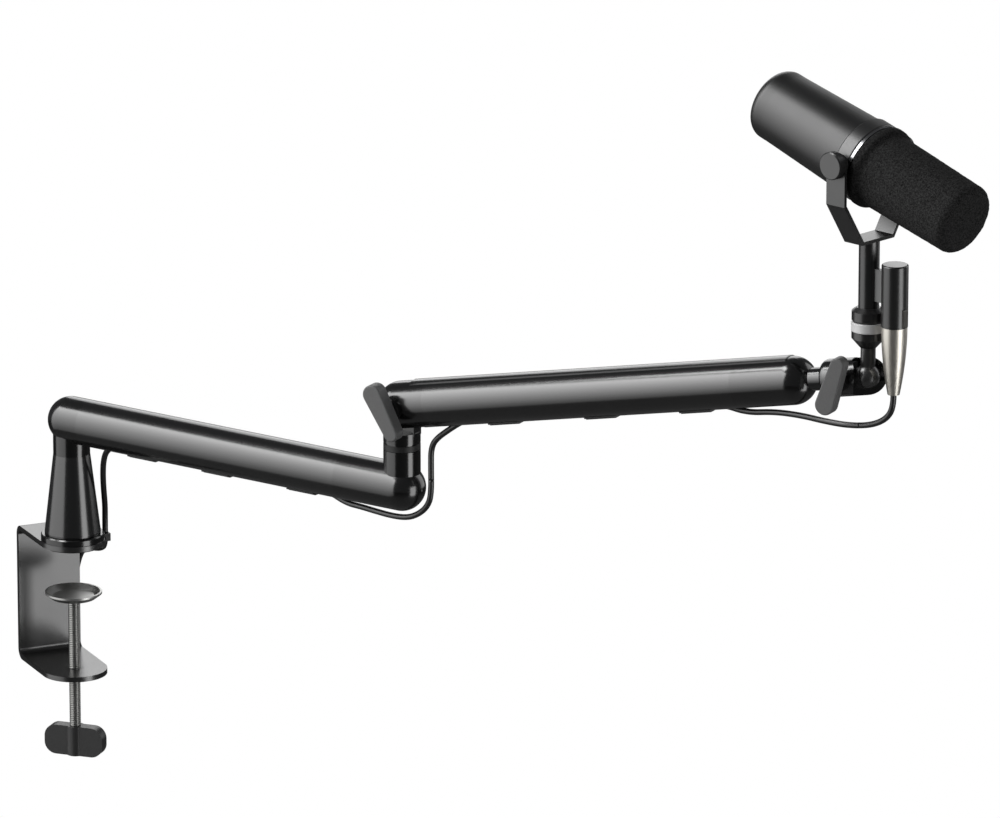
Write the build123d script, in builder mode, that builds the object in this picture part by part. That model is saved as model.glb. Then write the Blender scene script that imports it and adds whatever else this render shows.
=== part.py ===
"""Broadcast microphone on a low-profile desk boom arm.

An end-address microphone with a foam windscreen hangs in a yoke on a ball head. The ball head ends
a two-part boom of round tube, which turns on a riser above a screw clamp. A lead runs from the
microphone's socket along the undersides of both tubes to the clamp.

Millimetres and degrees, +Z up. The origin lies on the riser's axis in the plane of the desk top,
which the pad under the clamp's upper jaw presses on. The clamp opens towards -Y.
"""

from build123d import *
from math import cos, radians, sin, tan
import os

# ---- Clearances -----------------------------------------------------------------------------------
running_gap = 0.05  # radial, a shaft in its hole
slip_gap = 0.15  # radial, a spigot in a tube of its own assembly
moving_gap = 0.3  # between faces of assemblies that move past each other

# ---- Desk clamp -----------------------------------------------------------------------------------
clamp_width = 50.5
clamp_height = 108.3
plate_thickness = 4.0
clamp_reach = 51.0  # screw axis to the back plate's inner face
bend_radius = 8.0
jaw_pad_thickness = 1.5
jaw_pad_margin = 3.0
screw_radius = 4.4
bush_radius = 7.5
pressure_pad_radius = 22.0
pressure_pad_top = -36.7
pressure_pad_wall = 1.6
pressure_pad_depth = 3.6
pressure_hub_radius = 6.4
pressure_hub_height = 3.0
handle_middle = -157.0
handle_length = 48.0
handle_height = 23.5
handle_thickness = 9.5
handle_corner = 9.5
handle_hub_radius = 6.8
handle_waist = 7.0
handle_heading = -44.0

# ---- Riser ----------------------------------------------------------------------------------------
base_ring_radius = 24.5
base_ring_height = 5.0
pin_radius = 7.0
pin_stub_radius = 5.0
pin_top = 88.0
riser_foot_radius = 21.6
riser_top_radius = 14.2
riser_top = 74.0
riser_bore_radius = 9.0
bush_length = 13.0
shoulder_height = 100.6

# ---- Boom tubes -----------------------------------------------------------------------------------
tube_radius = 18.0
tube_wall = 2.4
groove_width = 7.4
groove_depth = 6.6
spigot_length = 9.0
lower_heading = -59.5
lower_length = 313.7  # riser axis to elbow axis
shoulder_seam = 17.5
elbow_seam_back = 52.0  # elbow axis back to the seam
lower_clip_shares = (0.2211, 0.5119, 0.8415)  # of the lower tube, from its shoulder end
upper_heading = -52.4
upper_tilt = 10.9
fork_seam = 27.0
nose_reach = 331.5  # tilt hinge to the centre of the nose dome
nose_seam_back = 44.0
upper_clip_shares = (0.2303, 0.5451, 0.8522)  # of the upper tube, from its fork end
clip_length = 25.0
clip_width = 13.0
clip_proud = 1.0
clip_lip = 2.4
cover_start = 14.0
cover_width = 15.0
cover_height = 0.7

# ---- Elbow ----------------------------------------------------------------------------------------
boss_radius = 14.0
boss_top = 30.0  # above the lower tube's axis
swivel_ring_height = 4.4
neck_radius = 13.4
neck_top = 36.0
tongue_thickness = 11.6
tongue_half_width = 13.2
elbow_pin_radius = 7.0
elbow_pin_depth = 30.0
hinge_rise = 63.9  # lower tube's axis to the tilt hinge
slot_top = 14.0
washer_thickness = 0.9
hinge_bolt_radius = 4.0
bolt_head_radius = 7.0
knob_boss_radius = 9.0
knob_boss_reach = 21.0

# ---- Wing knobs -----------------------------------------------------------------------------------
wing_length = 45.6
wing_wide_radius = 7.5  # round end of a wing's broad half
wing_narrow_radius = 5.6
wing_edge_round = 1.2
tension_wing_thickness = 11.5
head_wing_thickness = 9.6
wing_hub_radius = 8.0
tension_knob_lean = 18.1
head_knob_lean = 151.4
head_knob_back = 17.5  # behind the ball's centre
head_stud_radius = 3.0

# ---- Ball head ------------------------------------------------------------------------------------
head_reach = 61.2  # centre of the nose dome to the ball's centre
ball_reach = nose_reach + head_reach
ball_radius = 9.3
neck_tube_radius = 8.5
housing_radius = 14.0
housing_back = 35.0
housing_round = 5.0
seat_radius = 9.8
seat_depth = 12.5
stem_radius = 5.5
stem_top = 21.5
spindle_radius = 4.6
spindle_top = 46.0
mouth_heading = -60.0  # from the boom's heading, the way the housing is open
mouth_depth = 2.5  # ball's centre to the open face
mouth_back = 11.0  # ball's centre back to the side of the opening

# ---- Microphone mount -----------------------------------------------------------------------------
mount_heading = -68.0
adapter_radius = 12.3
adapter_cone_top = 28.8
adapter_top = 34.1
lock_ring_radius = 12.7
lock_ring_top = 41.2
lock_nut_radius = 12.3
lock_nut_top = 51.8
lock_nut_chamfer = 2.6
post_radius = 7.6
post_top = 102.0
yoke_width = 17.5
yoke_thickness = 2.6
yoke_base_half = 17.0
yoke_shoulder_rise = 134.0
ear_offset = 36.0  # post axis to the middle of an ear's thickness
pivot_rise = 164.4
yoke_knob_radius = 10.2
yoke_knob_thickness = 6.1
yoke_nut_radius = 7.0
yoke_nut_thickness = 3.2
yoke_stud_radius = 3.0
yoke_stud_tip = 27.5
connector_reach = 25.0
xlr_radius = 9.8
xlr_wall = 1.6
xlr_bottom = 42.0
xlr_top = 88.2
xlr_socket_depth = 20.0
plug_bottom = -9.0
plug_top_radius = 9.5
plug_tip_radius = 4.4
contact_radius = 1.2
contact_pitch_radius = 3.4
plate_top = 81.6
plate_bottom = 57.5
connector_plate_thickness = 4.0

# ---- Microphone -----------------------------------------------------------------------------------
mic_pitch = -16.7
mic_drop = 4.6  # yoke pivot down to the microphone's axis
mic_rear_radius = 26.9
mic_radius = 29.4  # at the collar
mic_wall = 1.8
rear_end = -99.1  # along the microphone's axis from below the yoke pivot
cap_seam = -83.0
cap_round = 9.0
collar_back = -8.2
collar_front = 4.5
collar_radius = 30.8
collar_bore_radius = 23.0
collar_round = 1.4
side_stem_radius = 4.3
side_boss_radius = 7.0
side_boss_start = 31.6
side_boss_reach = 34.4
trim_ring_front = 6.8
trim_ring_radius = 30.6
foam_rim_radius = 31.4
foam_rim_round = 1.6
foam_rim_front = 11.8
foam_rim_foot = 17.2
foam_radius = 28.2
foam_front_radius = 26.8
foam_bore_radius = 22.0
foam_front = 97.9
foam_face_thickness = 12.0
foam_round = 6.0
cage_wall = 0.9
cage_rib_count = 12
capsule_radius = 16.0
capsule_length = 24.0
capsule_back = 34.0
board_length = 48.0
board_thickness = 1.6

# ---- Lead -----------------------------------------------------------------------------------------
cord_radius = 2.25
cord_drop = 14.4  # tube axis down to the lead lying in the groove
bend_share = 0.45  # of the shorter run beside a corner, taken up by the corner's arc
lower_cord_start = 55.0  # along each tube's axis, where the lead comes to lie straight in the groove
upper_cord_start = 64.0
lower_cord_exit = 29.7  # from where it leaves the groove to the tube's far seam
upper_cord_exit = 29.5
clip_centre = (27.9, 3.0)
clip_block = (5.6, 8.0, 6.0)
hank_place = (3.0, -63.25)
hank_standoff = 9.0  # clamp's back face to the middle of the hank
hank_height = 70.5
hank_width = 40.5
hank_depth = 13.5
hank_round = 4.0
end_plug_place = 3.0
end_plug_standoff = 30.0
end_plug_top = -38.0
end_plug_seam = 47.0  # down from the plug's tip
end_plug_length = 62.0
end_plug_radius = 9.5

os.makedirs("parts", exist_ok=True)


def save(builder, name):
    """Label a finished piece and write it as its own STEP file."""
    builder.part.label = name
    export_step(builder.part, f"parts/{name}.step")


# ---- Frames of the assemblies at rest: x along the piece, y to its left, z its upward side ---------
def pointing(heading, tilt=0.0):
    """Unit vector at a heading from +X and a tilt above the horizontal."""
    flat = cos(radians(tilt))
    return Vector(flat * cos(radians(heading)), flat * sin(radians(heading)), sin(radians(tilt)))


def frame_at(origin, heading, tilt=0.0):
    """Plane whose x runs along a heading and tilt, and whose z is its upward side."""
    return Plane(origin, x_dir=pointing(heading, tilt), z_dir=pointing(heading, tilt + 90))


def across(frame, distance=0.0):
    """Plane square to a frame's x, facing along it: its x is the frame's left and its y is up."""
    return Plane(frame.from_local_coords((distance, 0, 0)), x_dir=frame.y_dir, z_dir=frame.x_dir)


def lengthwise(frame, right=0.0):
    """Upright plane along a frame's x, facing to its right: its x is along and its y is up."""
    origin = frame.from_local_coords((0, -right, 0))
    return Plane(origin, x_dir=frame.x_dir, z_dir=-frame.y_dir)


def crossways(frame):
    """Upright plane square to a frame's x, facing backwards: its x is the right and its y is up."""
    return Plane(frame.origin, x_dir=-frame.y_dir, z_dir=-frame.x_dir)


def faces_square_to(builder, direction):
    """A piece's flat faces whose normals run along a direction."""
    return builder.faces().filter_by(Axis((0, 0, 0), direction))


def round_bar(plane, radius, length, mode=Mode.ADD):
    """Add or cut a cylinder that starts on a plane and runs along its normal."""
    with BuildSketch(plane) as section:
        Circle(radius)
    extrude(section.sketch, amount=length, mode=mode)


def sleeve(plane, outer_radius, inner_radius, length):
    """Add a plain tube that starts on a plane and runs along its normal."""
    with BuildSketch(plane) as section:
        Circle(outer_radius)
        Circle(inner_radius, mode=Mode.SUBTRACT)
    extrude(section.sketch, amount=length)


def turned(plane, outline, axis, mode=Mode.ADD):
    """Add or cut an outline of points on a plane, turned about an axis."""
    with BuildSketch(plane) as section:
        with BuildLine():
            Polyline(*outline, close=True)
        make_face()
    revolve(section.sketch, axis=axis, mode=mode)


def block(plane, width, height, length, mode=Mode.ADD, both=False):
    """Add or cut a bar of rectangular section, centred on a plane and running along its normal."""
    with BuildSketch(plane) as section:
        Rectangle(width, height)
    extrude(section.sketch, amount=length, both=both, mode=mode)


def domed_bar(frame, radius, seam, toward):
    """Add a bar along a frame's x, from a half-sphere at its origin to a flat end at a seam."""
    with BuildSketch(lengthwise(frame)) as section:
        with BuildLine():
            Line((-toward * radius, 0), (seam, 0))
            Line((seam, 0), (seam, radius))
            Line((seam, radius), (0, radius))
            CenterArc((0, 0), radius, 90, 90 * toward)
        make_face()
    revolve(section.sketch, axis=Axis(frame.origin, frame.x_dir))


shoulder = Vector(0, 0, shoulder_height)
lower = frame_at(shoulder, lower_heading)
elbow_centre = lower.from_local_coords((lower_length, 0, 0))
elbow = frame_at(elbow_centre, upper_heading)
hinge_centre = elbow.from_local_coords((0, 0, hinge_rise))
tongue_frame = frame_at(hinge_centre, upper_heading)
upper = frame_at(hinge_centre, upper_heading, upper_tilt)
ball_centre = upper.from_local_coords((ball_reach, 0, 0))
head = frame_at(ball_centre, upper_heading, upper_tilt)
mount = frame_at(ball_centre, mount_heading)
pivot = mount.from_local_coords((0, 0, pivot_rise))
mic_hinge = frame_at(pivot, mount_heading, mic_pitch)
mic = mic_hinge.offset(-mic_drop)

# ---- Clamp: bracket, pad, ring, pin, bush ----------------------------------------------------------
jaw_top = jaw_pad_thickness + plate_thickness
clamp_bottom = jaw_top - clamp_height
lower_jaw_top = clamp_bottom + plate_thickness
clamp_back = clamp_reach + plate_thickness
clamp_front = clamp_width / 2

with BuildPart() as clamp_bracket:
    with BuildSketch(Plane.YZ):
        with BuildLine():
            FilletPolyline(
                (-clamp_front, jaw_top),
                (clamp_back, jaw_top),
                (clamp_back, clamp_bottom),
                (-clamp_front, clamp_bottom),
                radius=bend_radius,
            )
            FilletPolyline(
                (-clamp_front, jaw_pad_thickness),
                (clamp_reach, jaw_pad_thickness),
                (clamp_reach, lower_jaw_top),
                (-clamp_front, lower_jaw_top),
                radius=bend_radius - plate_thickness,
            )
            Line((-clamp_front, jaw_top), (-clamp_front, jaw_pad_thickness))
            Line((-clamp_front, clamp_bottom), (-clamp_front, lower_jaw_top))
        make_face()
    extrude(amount=clamp_width / 2, both=True)
    with BuildSketch(Plane.XY.offset(clamp_bottom)):
        Circle(clamp_front)
        with Locations((0, clamp_back / 2)):
            Rectangle(clamp_width, clamp_back)
    extrude(amount=clamp_height, mode=Mode.INTERSECT)
    with Locations((0, 0, jaw_top)):
        Hole(radius=pin_stub_radius, depth=plate_thickness)
    with Locations((0, 0, lower_jaw_top)):
        Hole(radius=bush_radius, depth=plate_thickness)
save(clamp_bracket, "clamp_bracket")

with BuildPart() as jaw_pad:
    with BuildSketch(Plane.XY):
        Circle(clamp_front - jaw_pad_margin)
        Rectangle(
            clamp_width - 2 * jaw_pad_margin,
            clamp_reach - bend_radius,
            align=(Align.CENTER, Align.MIN),
        )
    extrude(amount=jaw_pad_thickness)
save(jaw_pad, "jaw_pad")

with BuildPart() as base_ring:
    with BuildSketch(Plane.XY.offset(jaw_top)):
        Circle(base_ring_radius)
        Circle(pin_radius, mode=Mode.SUBTRACT)
    extrude(amount=base_ring_height)
    chamfer(base_ring.edges().filter_by(GeomType.CIRCLE).sort_by(SortBy.RADIUS)[-1], length=0.8)
save(base_ring, "base_ring")
ring_top = jaw_top + base_ring_height

with BuildPart() as pivot_pin:
    with BuildSketch(Plane.XY.offset(jaw_pad_thickness)):
        Circle(pin_stub_radius)
    extrude(amount=plate_thickness)
    with BuildSketch(Plane.XY.offset(jaw_top)):
        Circle(pin_radius)
    extrude(amount=pin_top - jaw_top)
    chamfer(pivot_pin.edges().sort_by(Axis.Z)[-1], length=1)
save(pivot_pin, "pivot_pin")

with BuildPart() as thread_bush:
    sleeve(Plane.XY.offset(clamp_bottom), bush_radius, screw_radius + running_gap, plate_thickness)
save(thread_bush, "thread_bush")

# ---- Clamp screw: dished pad, rod and handle -------------------------------------------------------
pad_floor = pressure_pad_top - pressure_pad_depth
hub_bottom = pad_floor - pressure_pad_wall - pressure_hub_height
handle_top = handle_middle + handle_height / 2
handle_frame = frame_at((0, 0, handle_middle), handle_heading)

with BuildPart() as pressure_pad:
    with BuildSketch(Plane.XZ):
        with BuildLine():
            Polyline(
                (0, pad_floor),
                (pressure_pad_radius - 6, pad_floor),
                (pressure_pad_radius - 1.6, pressure_pad_top),
                (pressure_pad_radius, pressure_pad_top),
                (pressure_pad_radius, pressure_pad_top - pressure_pad_wall),
                (pressure_pad_radius - 4.6, pad_floor - pressure_pad_wall),
                (pressure_hub_radius, pad_floor - pressure_pad_wall),
                (pressure_hub_radius, hub_bottom),
                (0, hub_bottom),
                close=True,
            )
        make_face()
    revolve(axis=Axis.Z)
    with BuildSketch(Plane.XY.offset(hub_bottom)):
        Circle(screw_radius + running_gap)
    extrude(amount=pressure_hub_height, mode=Mode.SUBTRACT)
save(pressure_pad, "pressure_pad")

with BuildPart() as screw_rod:
    with BuildSketch(Plane.XY.offset(handle_top)):
        Circle(screw_radius)
    extrude(amount=hub_bottom + pressure_hub_height - moving_gap - handle_top)
    chamfer(screw_rod.edges().sort_by(Axis.Z)[-1], length=0.8)
save(screw_rod, "screw_rod")

with BuildPart() as screw_handle:
    with BuildSketch(handle_frame):
        Circle(handle_hub_radius)
        Rectangle(handle_length, handle_thickness)
        hub = Vector(handle_frame.origin)
        waist = vertices().filter_by(lambda corner: (corner.center() - hub).length < handle_length / 4)
        fillet(waist, radius=handle_waist)
    extrude(amount=handle_height / 2, both=True)
    with BuildSketch(lengthwise(handle_frame)):
        RectangleRounded(handle_length, handle_height, handle_corner)
    extrude(amount=handle_length, both=True, mode=Mode.INTERSECT)
save(screw_handle, "screw_handle")

# ---- Riser and lower tube --------------------------------------------------------------------------
riser_foot = ring_top + moving_gap

with BuildPart() as riser_cone:
    with BuildSketch(Plane.XZ):
        with BuildLine():
            Polyline(
                (0, riser_foot),
                (riser_foot_radius, riser_foot),
                (riser_foot_radius, riser_foot + 1.5),
                (riser_top_radius, riser_top),
                (0, riser_top),
                close=True,
            )
        make_face()
    revolve(axis=Axis.Z)
    with BuildSketch(Plane.XY.offset(riser_foot)):
        Circle(riser_bore_radius)
    extrude(amount=riser_top - riser_foot, mode=Mode.SUBTRACT)
save(riser_cone, "riser_cone")

with BuildPart() as riser_bushes:
    with BuildSketch(Plane.XY.offset(riser_foot)):
        Circle(riser_bore_radius)
        Circle(pin_radius + running_gap, mode=Mode.SUBTRACT)
    extrude(amount=bush_length)
    with BuildSketch(Plane.XY.offset(riser_top - bush_length)):
        Circle(riser_bore_radius)
        Circle(pin_radius + running_gap, mode=Mode.SUBTRACT)
    extrude(amount=bush_length)
save(riser_bushes, "riser_bushes")

spigot_radius = tube_radius - tube_wall - slip_gap

channel_top = -tube_radius + tube_wall + groove_depth


def spigot(frame, start):
    """Add a casting's spigot, notched for the channel of the tube that it plugs into."""
    with BuildSketch(across(frame, start)) as section:
        Circle(spigot_radius)
        with Locations((0, channel_top + slip_gap)):
            Rectangle(
                groove_width + 2 * tube_wall + 2 * slip_gap,
                tube_radius,
                align=(Align.CENTER, Align.MAX),
                mode=Mode.SUBTRACT,
            )
    extrude(section.sketch, amount=spigot_length)


with BuildPart() as shoulder_casting:
    domed_bar(lower, tube_radius, shoulder_seam, 1)
    spigot(lower, shoulder_seam)
    round_bar(Plane.XY.offset(riser_top), riser_top_radius, shoulder_height - riser_top)
    round_bar(Plane.XY.offset(riser_top), pin_radius + moving_gap, pin_top + 2 - riser_top, Mode.SUBTRACT)
save(shoulder_casting, "shoulder_casting")


def grooved_tube(frame, start, end):
    """Add a round tube with an open channel along its underside, between two places on a frame's x."""
    with BuildSketch(across(frame, start)) as section:
        Circle(tube_radius)
        Circle(tube_radius - tube_wall, mode=Mode.SUBTRACT)
        with Locations((0, -tube_radius + tube_wall)):
            Rectangle(
                groove_width + 2 * tube_wall,
                groove_depth,
                align=(Align.CENTER, Align.MIN),
            )
        with Locations((0, -tube_radius - 1)):
            Rectangle(
                groove_width,
                groove_depth + 1,
                align=(Align.CENTER, Align.MIN),
                mode=Mode.SUBTRACT,
            )
    extrude(section.sketch, amount=end - start)


def clip_row(frame, start, end, shares):
    """Add the snap-in clips that close a tube's channel, one at each share of the way along it."""
    for share in shares:
        place = start + share * (end - start)
        with BuildSketch(across(frame, place - clip_length / 2)) as section:
            Circle(tube_radius + clip_proud)
            Circle(tube_radius, mode=Mode.SUBTRACT)
            with Locations((0, -tube_radius)):
                Rectangle(clip_width, tube_radius, mode=Mode.INTERSECT)
                Rectangle(groove_width - 2 * slip_gap, clip_lip)
        extrude(section.sketch, amount=clip_length)


elbow_seam = lower_length - elbow_seam_back

with BuildPart() as lower_tube:
    grooved_tube(lower, shoulder_seam, elbow_seam)
save(lower_tube, "lower_tube")

with BuildPart() as lower_clips:
    clip_row(lower, shoulder_seam, elbow_seam, lower_clip_shares)
save(lower_clips, "lower_clips")

lower_end = frame_at(elbow_centre, lower_heading)
pin_floor = boss_top - elbow_pin_depth

with BuildPart() as elbow_casting:
    domed_bar(lower_end, tube_radius, -elbow_seam_back, -1)
    spigot(lower, elbow_seam - spigot_length)
    round_bar(elbow, boss_radius, boss_top)
    round_bar(elbow.offset(pin_floor - 1), elbow_pin_radius + running_gap, elbow_pin_depth + 2, Mode.SUBTRACT)
save(elbow_casting, "elbow_casting")

# ---- Elbow swivel ----------------------------------------------------------------------------------
ring_foot = boss_top + moving_gap

with BuildPart() as swivel_ring:
    sleeve(elbow.offset(ring_foot), boss_radius, elbow_pin_radius, swivel_ring_height)
save(swivel_ring, "swivel_ring")

with BuildPart() as elbow_tongue:
    round_bar(elbow.offset(pin_floor), elbow_pin_radius, ring_foot + swivel_ring_height - pin_floor)
    round_bar(
        elbow.offset(ring_foot + swivel_ring_height),
        neck_radius,
        neck_top - ring_foot - swivel_ring_height,
    )
    round_bar(elbow.offset(neck_top), boss_radius, hinge_rise - tube_radius - 2 - neck_top)
    with BuildSketch(lengthwise(tongue_frame)):
        Circle(tongue_half_width)
        with Locations((0, -tube_radius / 2 - 2)):
            Rectangle(2 * tongue_half_width, tube_radius + 4)
    extrude(amount=tongue_thickness / 2, both=True)
    round_bar(
        lengthwise(tongue_frame, -tongue_thickness),
        hinge_bolt_radius + running_gap,
        2 * tongue_thickness,
        Mode.SUBTRACT,
    )
save(elbow_tongue, "elbow_tongue")

# ---- Tilt hinge and upper tube ---------------------------------------------------------------------
slot_half_width = tongue_thickness / 2 + moving_gap + washer_thickness
slot_front = 19.8
bolt_head_seat = 13.5
bolt_end = 27.0


def cross_bar(frame, radius, left, right, mode=Mode.ADD):
    """Add or cut a cylinder along a frame's y, between two distances to the right of it."""
    round_bar(lengthwise(frame, left), radius, right - left, mode)


with BuildPart() as fork_casting:
    domed_bar(upper, tube_radius, fork_seam, 1)
    spigot(upper, fork_seam)
    cross_bar(upper, knob_boss_radius, slot_half_width + 1, knob_boss_reach)
    with BuildSketch(lengthwise(upper)):
        with Locations((slot_front, slot_top)):
            Rectangle(
                slot_front + tube_radius + 1,
                slot_top + tube_radius + 1,
                align=(Align.MAX, Align.MAX),
            )
    extrude(amount=slot_half_width, both=True, mode=Mode.SUBTRACT)
    cross_bar(upper, hinge_bolt_radius, -tube_radius - 1, knob_boss_reach + 1, Mode.SUBTRACT)
    cross_bar(upper, bolt_head_radius + slip_gap, -tube_radius - 1, -bolt_head_seat, Mode.SUBTRACT)
save(fork_casting, "fork_casting")

with BuildPart() as hinge_bolt:
    cross_bar(upper, hinge_bolt_radius, -bolt_head_seat, bolt_end)
    cross_bar(upper, bolt_head_radius, -bolt_head_seat - 3.5, -bolt_head_seat)
    with BuildSketch(lengthwise(upper, -bolt_head_seat - 3.5)):
        RegularPolygon(radius=3.0, side_count=6)
    extrude(amount=2.4, mode=Mode.SUBTRACT)
save(hinge_bolt, "hinge_bolt")

with BuildPart() as friction_washers:
    sleeve(
        lengthwise(upper, tongue_thickness / 2 + moving_gap),
        tongue_half_width - 1,
        hinge_bolt_radius,
        washer_thickness,
    )
    sleeve(
        lengthwise(upper, -slot_half_width),
        tongue_half_width - 1,
        hinge_bolt_radius,
        washer_thickness,
    )
save(friction_washers, "friction_washers")

nose_seam = nose_reach - nose_seam_back
nose = frame_at(upper.from_local_coords((nose_reach, 0, 0)), upper_heading, upper_tilt)
neck_start = 8.0

with BuildPart() as upper_tube:
    grooved_tube(upper, fork_seam, nose_seam)
save(upper_tube, "upper_tube")

with BuildPart() as upper_clips:
    clip_row(upper, fork_seam, nose_seam, upper_clip_shares)
save(upper_clips, "upper_clips")

with BuildPart() as nose_casting:
    domed_bar(nose, tube_radius, -nose_seam_back, -1)
    spigot(upper, nose_seam - spigot_length)
    round_bar(across(nose, neck_start), neck_tube_radius, tube_radius, Mode.SUBTRACT)
save(nose_casting, "nose_casting")

with BuildPart() as top_cover:
    with BuildSketch(across(upper, cover_start)):
        Circle(tube_radius + cover_height)
        Circle(tube_radius, mode=Mode.SUBTRACT)
        with Locations((0, tube_radius)):
            Rectangle(cover_width, tube_radius, mode=Mode.INTERSECT)
    extrude(amount=nose_reach - cover_start)
save(top_cover, "top_cover")

# ---- Wing knobs ------------------------------------------------------------------------------------
def wing(frame, right, lean, thickness):
    """Add a wing knob's paddle, broad at the end that leans, its inner face to the right of a frame."""
    wide_centre = (wing_length - wing_wide_radius - wing_narrow_radius) / 2
    with BuildSketch(lengthwise(frame, right)) as section:
        with Locations(Rotation(0, 0, lean)):
            with Locations((0, wide_centre)):
                Circle(wing_wide_radius)
            with Locations((0, -wide_centre)):
                Circle(wing_narrow_radius)
        make_hull()
    extrude(section.sketch, amount=thickness)


with BuildPart() as tension_knob:
    wing(upper, knob_boss_reach + moving_gap, tension_knob_lean, tension_wing_thickness)
    fillet(faces_square_to(tension_knob, upper.y_dir).edges(), radius=wing_edge_round)
    cross_bar(
        upper,
        hinge_bolt_radius + running_gap,
        knob_boss_reach,
        bolt_end + moving_gap,
        Mode.SUBTRACT,
    )
save(tension_knob, "tension_knob")

head_screw = frame_at(
    head.from_local_coords((-head_knob_back, 0, 0)), upper_heading, upper_tilt
)
head_boss_reach = 17.0
head_stud_tip = 5.0

with BuildPart() as head_knob:
    wing(head_screw, head_boss_reach + moving_gap, head_knob_lean, head_wing_thickness)
    fillet(faces_square_to(head_knob, upper.y_dir).edges(), radius=wing_edge_round)
    cross_bar(head_screw, head_stud_radius, head_stud_tip, head_boss_reach + 1)
save(head_knob, "head_knob")

# ---- Ball head -------------------------------------------------------------------------------------
ball_room = ball_radius + running_gap
slot_back = 8.6
slot_drop = 5.0
stem_slot_half = stem_radius + 0.5


def stem_slot():
    """Cut the opening through which the stem leans, from just behind upright to nearly level."""
    with BuildSketch(lengthwise(head)) as section:
        with BuildLine():
            Polyline(
                (-slot_back, 0),
                (-slot_back, 2 * housing_radius),
                (2 * housing_radius, 2 * housing_radius),
                (2 * housing_radius, -slot_drop),
                (0, -slot_drop),
                (0, 0),
                close=True,
            )
        make_face()
    extrude(section.sketch, amount=stem_slot_half, both=True, mode=Mode.SUBTRACT)


with BuildPart() as head_neck:
    round_bar(across(nose, neck_start), neck_tube_radius, ball_reach - housing_back - nose_reach - neck_start)
save(head_neck, "head_neck")

mouth = frame_at(ball_centre, upper_heading + mouth_heading)

with BuildPart() as head_housing:
    with BuildSketch(lengthwise(head)):
        with BuildLine():
            Line((-housing_back, 0), (-housing_back, housing_radius - housing_round))
            CenterArc(
                (-housing_back + housing_round, housing_radius - housing_round),
                housing_round,
                180,
                -90,
            )
            Line((-housing_back + housing_round, housing_radius), (0, housing_radius))
            CenterArc((0, 0), housing_radius, 90, -90)
            Line((housing_radius, 0), (-housing_back, 0))
        make_face()
    revolve(axis=Axis(head.origin, head.x_dir))
    cross_bar(head_screw, wing_hub_radius, 6, head_boss_reach)
    with Locations(head.location):
        Sphere(ball_room, mode=Mode.SUBTRACT)
    round_bar(across(head, -seat_depth), seat_radius, seat_depth - 2, Mode.SUBTRACT)
    stem_slot()
    with BuildSketch(across(mouth, mouth_depth)):
        with Locations((-mouth_back, 0)):
            Rectangle(
                mouth_back + housing_radius + 1,
                2 * housing_radius + 2,
                align=(Align.MIN, Align.CENTER),
            )
    extrude(amount=housing_radius, mode=Mode.SUBTRACT)
    cross_bar(
        head_screw,
        head_stud_radius + running_gap,
        head_stud_tip - moving_gap,
        head_boss_reach + 1,
        Mode.SUBTRACT,
    )
save(head_housing, "head_housing")

with BuildPart() as ball_seat:
    round_bar(across(head, -seat_depth), seat_radius, seat_depth - 2)
    with Locations(head.location):
        Sphere(ball_room, mode=Mode.SUBTRACT)
    stem_slot()
save(ball_seat, "ball_seat")

with BuildPart() as ball_stud:
    with Locations(head.location):
        Sphere(ball_radius)
    round_bar(mount, stem_radius, stem_top)
    round_bar(mount.offset(stem_top), spindle_radius, spindle_top - stem_top)
save(ball_stud, "ball_stud")

# ---- Microphone mount: adapter, rings, post, yoke ---------------------------------------------------
spindle_bore = spindle_radius + running_gap
post_axis = Axis(mount.origin, mount.z_dir)

with BuildPart() as adapter_cone:
    turned(
        lengthwise(mount),
        (
            (spindle_bore, stem_top + moving_gap),
            (stem_radius + 0.7, stem_top + moving_gap),
            (adapter_radius, adapter_cone_top),
            (adapter_radius, adapter_top),
            (spindle_bore, adapter_top),
        ),
        post_axis,
    )
save(adapter_cone, "adapter_cone")

with BuildPart() as lock_ring:
    sleeve(mount.offset(adapter_top), lock_ring_radius, spindle_bore, lock_ring_top - adapter_top)
    chamfer(lock_ring.edges().filter_by(GeomType.CIRCLE).group_by(SortBy.RADIUS)[-1], length=0.5)
save(lock_ring, "lock_ring")

with BuildPart() as lock_nut:
    turned(
        lengthwise(mount),
        (
            (post_radius + running_gap, lock_ring_top + moving_gap),
            (lock_nut_radius - 0.6, lock_ring_top + moving_gap),
            (lock_nut_radius, lock_ring_top + moving_gap + 1.2),
            (lock_nut_radius, lock_nut_top - lock_nut_chamfer),
            (post_radius + 1, lock_nut_top),
            (post_radius + running_gap, lock_nut_top),
        ),
        post_axis,
    )
save(lock_nut, "lock_nut")

with BuildPart() as mount_post:
    round_bar(mount.offset(lock_ring_top), post_radius, post_top - lock_ring_top)
    round_bar(
        mount.offset(lock_ring_top),
        spindle_bore,
        spindle_top + moving_gap - lock_ring_top,
        Mode.SUBTRACT,
    )
save(mount_post, "mount_post")

ear_outer = ear_offset + yoke_thickness / 2
ear_top = pivot_rise + yoke_width / 2
ear_pivot = frame_at(pivot, mount_heading)

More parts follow.
